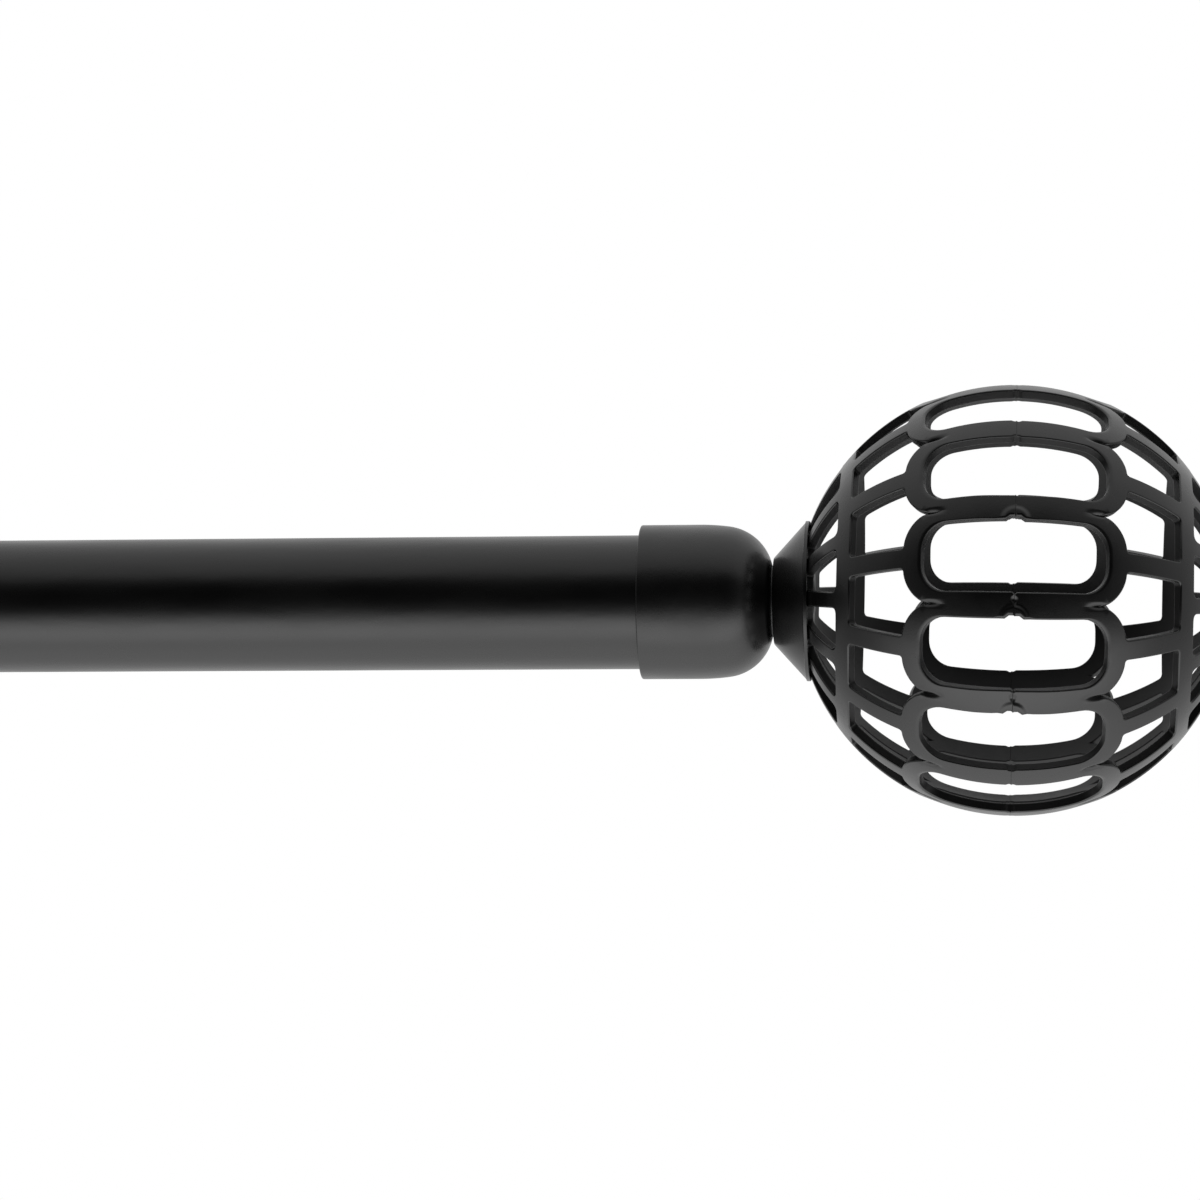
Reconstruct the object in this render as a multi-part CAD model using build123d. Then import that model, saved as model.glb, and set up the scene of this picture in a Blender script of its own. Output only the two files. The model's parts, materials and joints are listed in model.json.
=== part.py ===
from build123d import *
import os
from math import cos, radians, sin

# A telescoping 1 in curtain rod on two wall brackets, with a pierced ball finial screwed
# into the cap at each end. Millimetres. X runs along the rod, Y into the wall, Z up.
# The origin is on the wall, at the height of the rod and midway between the brackets.

INCH = 25.4

# ---- rod ----
ROD_R = INCH / 2                # outside radius of the outer tube
ROD_WALL = 0.8
INNER_R = 11.1                  # outside radius of the tube that slides out
INNER_WALL = 0.7
CLOSED_LENGTH = 28 * INCH       # cap face to cap face, pushed together
PULLED_OUT = 100.0              # how far the rod is drawn out as installed
CLOSED_GAP = 0.4                # left between the left cap and the outer tube when closed
INNER_LENGTH = 640.0
PROJECTION = 89.0               # rod axis to wall, 3 1/2 in
RING_WIDTH, LIP_THICK = 12.0, 1.5
FACE_X = (CLOSED_LENGTH + PULLED_OUT) / 2

# ---- end caps, drawn with the front face at 0 and outward positive ----
CAP_R = 14.62
CAP_LENGTH = 24.7
CAP_FACE_R = 7.0
CAP_BORE_R = ROD_R + 0.05
CAP_SHOULDER = (-13.5, CAP_R)   # end of the straight skirt
CAP_DOME = (-8.0, 14.25)        # where the slow shoulder turns into the round front
CAP_HOLE_R = 3.3
MOUTH_X = -FACE_X + CAP_LENGTH + PULLED_OUT + CLOSED_GAP    # open end of the outer tube
TUBE_END = -6.2                 # where both tubes stop inside their caps

# ---- finials ----
BALL_R = 40.8
BALL_WALL = 1.7
BALL_OUT = 45.35               # ball centre from the cap's face
CELLS = 14                      # oval openings round the seam
PITCH = 360 / CELLS
OVAL_LENGTH, OVAL_HEIGHT, OVAL_CORNER = 37.2, 13.7, 5.5
RING_LENGTH, RING_HEIGHT, RING_CORNER = 46.3, 19.3, 7.8
BAND_LAT = (47.3, 52.9)         # latitudes between which the wall has no openings
POLE_LAT = 71.2                 # closed disc beyond this latitude
INNER_STRUT = 3.7               # strut width between an oval's ring and the band
OUTER_STRUT = 2.95              # strut width between the band and the pole
CORNER_R = 1.0                  # corners of the openings beyond the band
NOTCH_HALF, NOTCH_DEPTH = 2.0, 0.95     # round notch in one side of each web, at the seam
NICK_DEPTH = 0.5                # V nick in its other side
WEB_TURN = 1.1                  # a web faces the room, turned down by this angle
CUT_FROM, CUT_TO = 0.8, 1.4     # reach of the cutters, in ball radii from the ball's centre
HUB_R, HUB_DEPTH = 7.5, 3.2     # thick middle of each pole
HUB_INSERT_R, HUB_INSERT_LENGTH = 4.6, 2.6
SEAM_PIN_R, SEAM_PIN_LENGTH = 0.45, 8.0
BUTTON_R, BUTTON_RISE = 5.5, 1.2
CUP_R = 15.15
CUP_BACK_R = 8.2
CUP_RIM = (6.5, 7.27)           # the straight band at the cup's mouth
CUP_LIP = 0.3                   # how far that band stands out from the flare
WASHER_R, WASHER_THICK, WASHER_HOLE_R = 6.8, 0.4, 3.25

# ---- finial thread, M6 ----
STUD_R = 3.0
STUD_FROM, STUD_TO = -17.2, 7.55
STUD_CHAMFER = 0.6
INSERT_R, INSERT_LENGTH = 5.0, 12.0
COLLAR_R, COLLAR_THICK = 6.5, 1.0
PLUG_LENGTH = 14.0
BUSH_INSET = 0.3                # reducer bush from the left cap's rim

# ---- brackets ----
BRACKET_X = 210.8
PLATE_WIDTH, PLATE_HEIGHT, PLATE_THICK = 24.0, 80.0, 2.0
PLATE_CORNER, PLATE_EDGE = 6.0, 0.6
SCREW_HOLE_R, SCREW_HOLE_Z = 2.5, 30.0
SLEEVE_WIDTH, SLEEVE_HEIGHT, SLEEVE_WALL = 12.0, 18.0, 1.5
SLEEVE_CORNER = 1.2
SLEEVE_END = 50.0               # mouth of the sleeve from the wall
ARM_START = 8.0                 # inner end of the arm from the wall
ARM_PLAY = 0.1
LOCK_SCREW_Y = 42.0
LOCK_HOLE_R, LOCK_SHANK_R = 2.0, 1.95
LOCK_HEAD_R, LOCK_HEAD_HEIGHT, LOCK_HEAD_EDGE = 3.7, 2.8, 1.2
LOCK_STANDOFF = 1.2             # head to sleeve when it grips the arm
LOCK_SLOT_WIDTH, LOCK_SLOT_DEPTH = 1.1, 1.2
CRADLE_WIDTH, CRADLE_THICK = 16.0, 2.5
CRADLE_R = ROD_R + 0.2
PRONG_TOP = 9.0
PRONG_EDGE = 0.8
BOSS_R, BOSS_LENGTH = 5.0, 6.0
THUMB_R, THUMB_CLEAR = 2.45, 0.05
TIP_R, TIP_THICK, TIP_GAP = 2.0, 1.5, 0.3
STEM_R, STEM_LENGTH = 1.0, 2.6
KNOB_R, KNOB_LENGTH, KNOB_GAP, KNOB_EDGE = 6.0, 6.5, 1.2, 0.7
KNURLS, KNURL_SIZE, KNURL_REACH = 24, 1.0, 0.35

PRESSED = 0.02                  # between pieces pressed together
RUNNING = 0.05                  # between pieces that slide or turn


# ---- shapes along X ----
def rod(start, end, radius):
    """Solid round bar along X."""
    return Pos(X=(start + end) / 2) * Rot(Y=90) * Cylinder(radius, end - start)


def sleeve(start, end, outer, inner):
    """Round tube along X."""
    return rod(start, end, outer) - rod(start - 1, end + 1, inner)


def lathed(*lines):
    """Half section above the X axis, turned round it."""
    return revolve(make_face(Curve() + list(lines)), Axis.X, 360)


def at_end(shape, side):
    """Put a shape drawn from the right cap's face at the right (+1) or left (-1) end."""
    turn = Rot(Z=0 if side > 0 else 180)
    return Pos(side * FACE_X, -PROJECTION, 0) * turn * shape


def on_axis(shape):
    return Pos(Y=-PROJECTION) * shape


# ---- rod ----
def outer_tube():
    return on_axis(sleeve(MOUTH_X, FACE_X + TUBE_END, ROD_R, ROD_R - ROD_WALL))


def mouth_ring():
    """Guide ring pressed into the open end of the outer tube; the inner tube slides in it."""
    bore = ROD_R - ROD_WALL - PRESSED
    return on_axis(sleeve(MOUTH_X, MOUTH_X + RING_WIDTH, bore, INNER_R + RUNNING))


def inner_tube():
    start = -FACE_X - TUBE_END
    return on_axis(sleeve(start, start + INNER_LENGTH, INNER_R, INNER_R - INNER_WALL))


def inner_tube_guide():
    """Bush on the hidden end of the inner tube, with a lip over its edge."""
    end = -FACE_X - TUBE_END + INNER_LENGTH
    outer = ROD_R - ROD_WALL - RUNNING
    bush = sleeve(end - RING_WIDTH, end + LIP_THICK, outer, INNER_R + PRESSED)
    lip = sleeve(end + PRESSED, end + LIP_THICK, outer, INNER_R - 2 * INNER_WALL)
    return on_axis(bush + lip)


# ---- ends ----
def end_cap():
    """Domed cap over the tube: straight skirt, slow shoulder, round front, flat face."""
    rim = (-CAP_LENGTH, CAP_R)
    slow = TangentArc(CAP_SHOULDER, CAP_DOME, tangent=(1, 0))
    front = TangentArc(CAP_DOME, (0, CAP_FACE_R), tangent=slow % 1)
    return lathed(
        Line(rim, CAP_SHOULDER),
        slow,
        front,
        Polyline(
            (0, CAP_FACE_R),
            (0, CAP_HOLE_R),
            (TUBE_END, CAP_HOLE_R),
            (TUBE_END, CAP_BORE_R),
            (-CAP_LENGTH, CAP_BORE_R),
            rim,
        ),
    )


def end_plug(bore_r):
    """Plug pressed into a tube's end, with a seat for the insert's collar."""
    start = TUBE_END - PLUG_LENGTH
    body = sleeve(start, TUBE_END, bore_r - PRESSED, INSERT_R + PRESSED)
    seat = rod(TUBE_END - COLLAR_THICK - PRESSED, TUBE_END + 1, COLLAR_R + PRESSED)
    return body - seat


def thread_insert():
    body = rod(TUBE_END - INSERT_LENGTH, TUBE_END, INSERT_R)
    collar = rod(TUBE_END - COLLAR_THICK, TUBE_END, COLLAR_R)
    return body + collar - rod(TUBE_END - INSERT_LENGTH - 1, TUBE_END + 1, STUD_R + RUNNING)


def reducer_bush():
    """Fills the space between the inner tube and the left cap, which fits the outer tube."""
    return sleeve(-CAP_LENGTH + BUSH_INSET, TUBE_END, CAP_BORE_R - PRESSED, INNER_R + PRESSED)


# ---- finials ----
def finial_washer():
    return sleeve(0, WASHER_THICK, WASHER_R, WASHER_HOLE_R)


def neck_cup():
    """Flared cup with a spherical seat for the ball."""
    rim_from, rim_to = CUP_RIM
    seat_r = BALL_R + PRESSED
    seat_edge = (seat_r**2 - (BALL_OUT - rim_to) ** 2) ** 0.5
    hole_r = STUD_R + PRESSED
    seat_start = BALL_OUT - (seat_r**2 - hole_r**2) ** 0.5
    seat_mid = (BALL_OUT - seat_r * cos(radians(12)), seat_r * sin(radians(12)))
    return lathed(
        Polyline(
            (seat_start, hole_r),
            (WASHER_THICK, hole_r),
            (WASHER_THICK, CUP_BACK_R),
            (rim_from, CUP_R - CUP_LIP),
            (rim_from, CUP_R),
            (rim_to, CUP_R),
            (rim_to, seat_edge),
        ),
        ThreePointArc((rim_to, seat_edge), seat_mid, (seat_start, hole_r)),
    )


def finial_stud():
    return chamfer(rod(STUD_FROM, STUD_TO, STUD_R).edges(), STUD_CHAMFER)


def radial_prism(outline):
    """Outline on the plane that touches the ball at its seam, narrowing to the ball's centre."""
    faces = []
    for reach in (CUT_FROM, CUT_TO):
        plane = Plane(origin=(0, -reach * BALL_R, 0), x_dir=(1, 0, 0), z_dir=(0, -1, 0))
        faces.append(plane * scale(outline, reach))
    return loft(faces, ruled=True)


def oval_outline():
    """Oval with the round notch in the web above it and the V nick in the web below."""
    notch_r = (NOTCH_HALF**2 + NOTCH_DEPTH**2) / (2 * NOTCH_DEPTH)
    notch_y = OVAL_HEIGHT / 2 + NOTCH_DEPTH - notch_r
    nick_side = NICK_DEPTH * 2**0.5
    oval = RectangleRounded(OVAL_LENGTH, OVAL_HEIGHT, OVAL_CORNER)
    nick = Pos(0, -OVAL_HEIGHT / 2) * Rot(Z=45) * Rectangle(nick_side, nick_side)
    return (oval + Pos(0, notch_y) * Circle(notch_r) + nick).face()


def wall_sector(lat_from, lat_to):
    """One cell's width of the ball's wall between two latitudes, on the left half."""
    corners = []
    ends = (lat_from, CUT_FROM), (lat_from, CUT_TO), (lat_to, CUT_TO), (lat_to, CUT_FROM)
    for lat, reach in ends:
        angle = radians(lat)
        corners.append((-reach * BALL_R * sin(angle), -reach * BALL_R * cos(angle)))
    face = make_face(Polyline(*corners, close=True))
    return Rot(X=-PITCH / 2) * revolve(face, Axis.X, PITCH)


def strut_slab(width):
    """Slab through the ball's centre that leaves a strut of this width on one meridian."""
    size = 1.5 * BALL_R
    return Pos(0, -size / 2, 0) * Box(2 * size, size, width)


def sides(shape):
    """A shape on both edges of a cell."""
    return Rot(X=PITCH / 2) * shape, Rot(X=-PITCH / 2) * shape


def is_radial(edge):
    """True for the corner edges of a cutter, which point away from the ball's centre."""
    return abs((edge @ 0).length - (edge @ 1).length) > BALL_R / 4


def ball_openings():
    """Cutters for one cell: the oval on the seam, and one opening each side of the band."""
    ring = radial_prism(RectangleRounded(RING_LENGTH, RING_HEIGHT, RING_CORNER).face())
    oval = radial_prism(oval_outline())
    between = wall_sector(0, BAND_LAT[0])
    between = between - [*sides(ring), *sides(strut_slab(INNER_STRUT))]
    beyond = wall_sector(BAND_LAT[1], POLE_LAT)
    beyond = beyond - [*sides(strut_slab(OUTER_STRUT))]
    beyond = fillet(beyond.edges().filter_by(is_radial), CORNER_R)
    return oval, between, beyond


def ball_half():
    """Pierced half shell on the left of the seam, with a thick hub at its pole."""
    wall = Sphere(BALL_R) - Sphere(BALL_R - BALL_WALL)
    hub = rod(-BALL_R, -BALL_R + HUB_DEPTH, HUB_R) & Sphere(BALL_R)
    half_space = Pos(X=-BALL_R) * Box(2 * BALL_R, 3 * BALL_R, 3 * BALL_R)
    half = (wall + hub) & half_space
    oval, between, beyond = ball_openings()
    cutters = []
    for cell in range(CELLS):
        web = Rot(X=WEB_TURN + cell * PITCH)
        middle = Rot(X=WEB_TURN + (cell + 0.5) * PITCH)
        cutters += [middle * oval, web * between, middle * beyond]
    pocket_start = -BALL_R + HUB_DEPTH - HUB_INSERT_LENGTH - PRESSED
    pocket = rod(pocket_start, 0, HUB_INSERT_R + PRESSED)
    bore = rod(-BALL_R - 1, 0, STUD_R + PRESSED)
    return half - cutters - seam_pins() - pocket - bore


def hub_insert():
    """Insert moulded in the left hub, flush with its inside face, that the stud is locked in."""
    inside = -BALL_R + HUB_DEPTH
    return sleeve(inside - HUB_INSERT_LENGTH, inside, HUB_INSERT_R, STUD_R + PRESSED)


def seam_pins():
    """Locating pins across the seam, in the middle of every second web."""
    middle_r = BALL_R - BALL_WALL / 2
    pin = Pos(Y=-middle_r) * rod(-SEAM_PIN_LENGTH / 2, SEAM_PIN_LENGTH / 2, SEAM_PIN_R)
    return [Rot(X=WEB_TURN + cell * PITCH) * pin for cell in range(0, CELLS, 2)]


def pole_button():
    """Domed button that closes the outer pole, on a stem pressed into the hub."""
    seat_start = (BALL_R**2 - BUTTON_R**2) ** 0.5
    head = Sphere(BALL_R + BUTTON_RISE) & rod(seat_start, BALL_R + 2 * BUTTON_RISE, BUTTON_R)
    head = head - Sphere(BALL_R + PRESSED)
    stem = rod(BALL_R - HUB_DEPTH, BALL_R + BUTTON_RISE / 2, STUD_R)
    return head + stem


# ---- brackets, drawn at X = 0 ----
def wall_plate():
    outline = RectangleRounded(PLATE_WIDTH, PLATE_HEIGHT, PLATE_CORNER)
    plate = Rot(X=90) * extrude(outline, PLATE_THICK)
    plate = fillet(plate.faces().sort_by(Axis.Y)[0].edges(), PLATE_EDGE)
    for z in (SCREW_HOLE_Z, -SCREW_HOLE_Z):
        plate -= Pos(0, 0, z) * Rot(X=90) * Cylinder(SCREW_HOLE_R, 3 * PLATE_THICK)
    return plate


def bar_y(width, height, start, end):
    """Rectangular bar along Y between two distances from the wall."""
    return Pos(0, -(start + end) / 2, 0) * Box(width, end - start, height)


def arm_sleeve():
    outside = bar_y(SLEEVE_WIDTH, SLEEVE_HEIGHT, PLATE_THICK, SLEEVE_END)
    outside = fillet(outside.edges().filter_by(Axis.Y), SLEEVE_CORNER)
    bore_size = SLEEVE_WIDTH - 2 * SLEEVE_WALL, SLEEVE_HEIGHT - 2 * SLEEVE_WALL
    bore = bar_y(*bore_size, PLATE_THICK - 1, SLEEVE_END + 1)
    tapped = Pos(0, -LOCK_SCREW_Y, -SLEEVE_HEIGHT / 2) * Cylinder(LOCK_HOLE_R, 3 * SLEEVE_WALL)
    return outside - bore - tapped


def lock_screw():
    """Slotted pan head screw under the sleeve, which grips the arm."""
    tip = -SLEEVE_HEIGHT / 2 + SLEEVE_WALL - RUNNING
    head_top = -SLEEVE_HEIGHT / 2 - LOCK_STANDOFF
    shank = Pos(Z=(tip + head_top) / 2) * Cylinder(LOCK_SHANK_R, tip - head_top)
    head = Pos(Z=head_top - LOCK_HEAD_HEIGHT / 2) * Cylinder(LOCK_HEAD_R, LOCK_HEAD_HEIGHT)
    head = fillet(head.edges().sort_by(Axis.Z)[0], LOCK_HEAD_EDGE)
    slot = Box(LOCK_SLOT_WIDTH, 3 * LOCK_HEAD_R, 2 * LOCK_SLOT_DEPTH)
    slot = Pos(Z=head_top - LOCK_HEAD_HEIGHT) * slot
    return Pos(Y=-LOCK_SCREW_Y) * (shank + head - slot)


def cradle_outline(radius, top):
    """U outline in the YZ plane, round below the rod's axis and straight above it."""
    half_round = Circle(radius)
    straight = Pos(0, top / 2) * Rectangle(2 * radius, top)
    plane = Plane(origin=(0, -PROJECTION, 0), x_dir=(0, 1, 0), z_dir=(1, 0, 0))
    return plane * (half_round + straight)


def cradle_block():
    return extrude(cradle_outline(CRADLE_R + CRADLE_THICK, PRONG_TOP), CRADLE_WIDTH / 2, both=True)


def arm_bar():
    """Square-cut bar in the sleeve, its front end coped to the cradle's round back."""
    width = SLEEVE_WIDTH - 2 * SLEEVE_WALL - 2 * ARM_PLAY
    height = SLEEVE_HEIGHT - 2 * SLEEVE_WALL - 2 * ARM_PLAY
    bar = bar_y(width, height, ARM_START, PROJECTION - CRADLE_R + 1)
    return bar - cradle_block()


def cradle():
    """U that the rod rests in, with a tapped boss for the thumb screw on its front prong."""
    face_y = PROJECTION + CRADLE_R + CRADLE_THICK
    block = cradle_block()
    channel = extrude(cradle_outline(CRADLE_R, 2 * PRONG_TOP), CRADLE_WIDTH, both=True)
    prongs = block - channel
    prongs = fillet(prongs.faces().sort_by(Axis.Z)[-2:].edges(), PRONG_EDGE)
    boss = Pos(0, -face_y - BOSS_LENGTH / 2, 0) * Rot(X=90) * Cylinder(BOSS_R, BOSS_LENGTH)
    tapped = Pos(0, -face_y, 0) * Rot(X=90) * Cylinder(THUMB_R + THUMB_CLEAR, 4 * BOSS_LENGTH)
    return prongs + (boss - tapped) - tapped


def thumb_screw():
    """Knurled knob on a round shank, drilled at its end for the tip's stem."""
    tip_back = PROJECTION + ROD_R + TIP_GAP + TIP_THICK
    boss_face = PROJECTION + CRADLE_R + CRADLE_THICK + BOSS_LENGTH
    knob_start = boss_face + KNOB_GAP
    shank = Pos(Y=-(tip_back + knob_start) / 2) * Rot(X=90) * Cylinder(THUMB_R, knob_start - tip_back)
    knob = Rot(X=90) * Cylinder(KNOB_R, KNOB_LENGTH)
    knob = chamfer(knob.edges().filter_by(GeomType.CIRCLE), KNOB_EDGE)
    groove = Rot(X=90) * Rot(Z=45) * Box(KNURL_SIZE, KNURL_SIZE, 2 * KNOB_LENGTH)
    groove = Pos(X=KNOB_R + KNURL_REACH) * groove
    grooves = [Rot(Y=360 / KNURLS * i) * groove for i in range(KNURLS)]
    knob = Pos(Y=-knob_start - KNOB_LENGTH / 2) * (knob - grooves)
    drilled = Cylinder(STEM_R + RUNNING, 2 * (STEM_LENGTH + TIP_GAP))
    drilled = Pos(Y=-tip_back) * Rot(X=90) * drilled
    return shank + knob - drilled


def thumb_screw_tip():
    """Soft tip that bears on the rod and stays still while the screw turns."""
    front = PROJECTION + ROD_R + TIP_GAP
    disc = Pos(Y=-front - TIP_THICK / 2) * Rot(X=90) * Cylinder(TIP_R, TIP_THICK)
    stem_middle = front + TIP_THICK + STEM_LENGTH / 2
    stem = Pos(Y=-stem_middle) * Rot(X=90) * Cylinder(STEM_R, STEM_LENGTH)
    return disc + stem


def build():
    """Every node by name."""
    nodes = {
        "outer_tube": outer_tube(),
        "mouth_ring": mouth_ring(),
        "inner_tube": inner_tube(),
        "inner_tube_guide": inner_tube_guide(),
        "left_reducer_bush": at_end(reducer_bush(), -1),
    }
    bracket_makers = (
        wall_plate, arm_sleeve, lock_screw, arm_bar, cradle, thumb_screw, thumb_screw_tip,
    )
    bracket = {maker.__name__: maker() for maker in bracket_makers}
    ball = Pos(X=BALL_OUT)
    inner_half = ball_half()
    finial = {
        "finial_washer": finial_washer(),
        "neck_cup": neck_cup(),
        "finial_stud": finial_stud(),
        "inner_hub_insert": ball * hub_insert(),
        "outer_hub_insert": ball * mirror(hub_insert(), Plane.YZ),
        "ball_inner_half": ball * inner_half,
        "ball_outer_half": ball * mirror(inner_half, Plane.YZ),
        "seam_pins": ball * Compound(children=seam_pins()),
        "pole_button": ball * pole_button(),
        "end_cap": end_cap(),
        "thread_insert": thread_insert(),
    }
    bore = {"right": ROD_R - ROD_WALL, "left": INNER_R - INNER_WALL}
    for name, side in (("left", -1), ("right", 1)):
        for piece, shape in bracket.items():
            nodes[f"{name}_{piece}"] = Pos(X=side * BRACKET_X) * shape
        for piece, shape in finial.items():
            nodes[f"{name}_{piece}"] = at_end(shape, side)
        nodes[f"{name}_end_plug"] = at_end(end_plug(bore[name]), side)
    return nodes


os.makedirs("parts", exist_ok=True)
for node, shape in build().items():
    export_step(shape, f"parts/{node}.step")
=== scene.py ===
import json
from math import atan, atan2, cos, hypot, pi, radians, sin, sqrt, tan

import bpy
import numpy as np
from mathutils import Matrix, Vector
from mathutils.geometry import delaunay_2d_cdt


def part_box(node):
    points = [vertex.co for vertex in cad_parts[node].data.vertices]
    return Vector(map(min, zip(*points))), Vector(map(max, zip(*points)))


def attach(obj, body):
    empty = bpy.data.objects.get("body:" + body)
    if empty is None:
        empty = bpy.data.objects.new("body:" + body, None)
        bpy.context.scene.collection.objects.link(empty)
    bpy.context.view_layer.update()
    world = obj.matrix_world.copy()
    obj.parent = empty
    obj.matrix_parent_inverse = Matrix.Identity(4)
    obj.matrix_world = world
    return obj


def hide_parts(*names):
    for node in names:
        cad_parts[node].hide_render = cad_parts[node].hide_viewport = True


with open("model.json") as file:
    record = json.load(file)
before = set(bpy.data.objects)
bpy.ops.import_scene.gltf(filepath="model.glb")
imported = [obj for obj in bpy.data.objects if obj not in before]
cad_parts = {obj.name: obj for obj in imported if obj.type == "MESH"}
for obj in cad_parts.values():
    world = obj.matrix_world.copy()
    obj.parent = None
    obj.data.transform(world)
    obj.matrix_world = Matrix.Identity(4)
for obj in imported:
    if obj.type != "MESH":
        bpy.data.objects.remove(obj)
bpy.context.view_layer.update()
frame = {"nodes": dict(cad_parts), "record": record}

# Shapes are drawn in millimetres and scaled to metres when they become meshes.
MM = 0.001
SHARP = radians(38)                 # shading breaks where faces meet at a sharper angle


def span(node):
    """Lowest and highest corner of a CAD node in millimetres."""
    low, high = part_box(node)
    return low / MM, high / MM


def radius_of(node):
    low, high = span(node)
    return (high.z - low.z) / 2


# ---- places and sizes taken from the frame ----
tube_low, tube_high = span("outer_tube")
AXIS_Y = (tube_low.y + tube_high.y) / 2
TUBE_R, INNER_R, CAP_R = (radius_of(n) for n in ("outer_tube", "inner_tube", "right_end_cap"))
cap_low, cap_high = span("right_end_cap")
FACE_X = cap_high.x
CAP_LENGTH = cap_high.x - cap_low.x
cup_low, cup_high = span("right_neck_cup")
ball_low, ball_high = span("right_ball_outer_half")
BALL_OUT = ball_low.x - FACE_X
BALL_R = (ball_high.y - ball_low.y) / 2 - 0.07
plate_low, plate_high = span("right_wall_plate")
BRACKET_X = (plate_low.x + plate_high.x) / 2
SIDES = (("right", 1), ("left", -1))

# ---- wall of the pierced ball ----
WALL = 1.7
CELLS = 14
PITCH = 2 * pi / CELLS
WEB_TURN = radians(-1.4)            # a web faces the room, turned down by this angle
OVAL = (18.5, 6.74, 5.4)            # half length, half height and corner radius of an oval
RING = (23.15, 9.65, 7.8)           # the same for the ring round it
BAND = (radians(47.3), radians(52.9))
POLE = radians(71.2)
CAP_LAT = radians(76)               # the pole's closed disc is turned beyond this latitude
INNER_STRUT, OUTER_STRUT = 1.85, 1.475  # half widths
EDGE_R, INSIDE_R, SEAM_R = 0.32, 0.25, 0.08
RING_EDGE, SOCKET_EDGE = 0.75, 0.6  # how far the rounding reaches at an oval's ends and at a socket
SEAT_TILT = radians(1.3)            # the ball hangs a little low in its seat
HALF_SLIP = radians(0.15)           # the outer half is turned this much against the inner one
BOSS_R, BOSS_SLOPE = 2.9, 1.0       # raised ground round a socket
BOSS_RISE = {-1: 0.24, 1: 0.36}     # on the inner and the outer half
DIMPLE_R, DIMPLE_DEPTH, DIMPLE_OFF = 0.85, 0.22, 1.0
CREASE_LENGTH, CREASE_DEPTH, CREASE_HALF = 4.2, 0.55, 1.0
HUB_R, HUB_DEPTH, HUB_HOLE = 7.5, 3.2, 3.02


# ---- mesh helpers ----
def new_mesh(name, points, faces):
    """A mesh from points in millimetres."""
    mesh = bpy.data.meshes.new(name)
    mesh.from_pydata([tuple(p) for p in np.asarray(points) * MM], [], faces)
    return mesh


def new_object(name, data):
    made = bpy.data.objects.new(name, data)
    bpy.context.scene.collection.objects.link(made)
    return made


def smooth(mesh, corner_normals=None):
    """Smooth shading, with the given normals or else broken at sharp edges."""
    mesh.polygons.foreach_set("use_smooth", [True] * len(mesh.polygons))
    if corner_normals is None:
        mesh.set_sharp_from_angle(angle=SHARP)
    else:
        mesh.normals_split_custom_set(corner_normals)


def add_piece(name, mesh, body, slot, node):
    """A visible piece that rides on a body and stands for a CAD node."""
    piece = new_object(name, mesh)
    mesh.materials.clear()
    mesh.materials.append(MATERIALS[slot])
    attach(piece, body)
    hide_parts(node)
    return piece


def mesh_piece(name, points, faces, body, slot, node, corner_normals=None):
    mesh = new_mesh(name, points, faces)
    mesh.validate()
    smooth(mesh, corner_normals)
    return add_piece(name, mesh, body, slot, node)


def turned_piece(name, outline, place, body, slot, node, segments=120):
    """A piece turned about X from an outline, then put in its place."""
    points, faces = lathe(outline, segments)
    return mesh_piece(name, place(points), faces, body, slot, node)


def rounded(corners, closed=True):
    """Points of an outline. A corner is (x, y) or (x, y, radius), which rounds it with an arc."""
    corners = [tuple(c) + (0,) * (3 - len(c)) for c in corners]
    count = len(corners)
    points = []
    for i, (x, y, radius) in enumerate(corners):
        if radius == 0 or (not closed and i in (0, count - 1)):
            points.append((x, y))
            continue
        here = Vector((x, y))
        back = (Vector(corners[i - 1][:2]) - here).normalized()
        ahead = (Vector(corners[(i + 1) % count][:2]) - here).normalized()
        half = back.angle(ahead) / 2
        centre = here + (back + ahead).normalized() * radius / sin(half)
        start = here + back * radius / tan(half) - centre
        turn = pi - 2 * half
        if back.x * ahead.y - back.y * ahead.x > 0:
            turn = -turn
        steps = max(2, round(abs(turn) / radians(18)))
        guard = min(0.25 * radius, 0.4)
        points.append(tuple(centre + start + back * guard))
        for k in range(steps + 1):
            points.append(tuple(centre + Matrix.Rotation(turn * k / steps, 2) @ start))
        points.append(tuple(Vector(points[-1]) + ahead * guard))
    return points


def circle(radius, count=72, x=0.0, y=0.0):
    steps = [2 * pi * k / count for k in range(count)]
    return [(x + radius * cos(a), y + radius * sin(a)) for a in steps]


def turned_grid(rows, segments, radius_at):
    """Points and faces of a shape turned about X. A row of radius 0 closes an end."""
    points, faces, starts, sizes = [], [], [], []
    for i, x in enumerate(rows):
        starts.append(len(points))
        sizes.append(1 if radius_at(i, 0.0) < 1e-6 else segments)
        for k in range(sizes[-1]):
            angle = 2 * pi * k / segments
            r = radius_at(i, angle)
            points.append((x, r * cos(angle), r * sin(angle)))
    for a, b, i, j in zip(starts, starts[1:], sizes, sizes[1:]):
        for k in range(segments):
            n = k + 1
            face = tuple(dict.fromkeys((a + k % i, a + n % i, b + n % j, b + k % j)))
            if len(face) > 2:
                faces.append(face)
    return points, faces


def lathe(outline, segments):
    """Points and faces of a closed outline of (x, radius) corners turned about X."""
    profile = rounded(outline, closed=True)
    area = sum(p[0] * q[1] - q[0] * p[1] for p, q in zip(profile, profile[1:] + profile[:1]))
    if area < 0:
        profile.reverse()
    on_axis = [i for i, p in enumerate(profile) if p[1] < 1e-6]
    if on_axis:
        first = next(i for i in on_axis if (i - 1) % len(profile) in on_axis)
        profile = profile[first:] + profile[:first]
        profile = profile if len(on_axis) > 1 else profile + profile[:1]
    else:
        profile = profile + profile[:1]
    rows = [p[0] for p in profile]
    points, faces = turned_grid(rows, segments, lambda i, _: max(profile[i][1], 0.0))
    return np.array(points), [tuple(reversed(f)) for f in faces]


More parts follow.
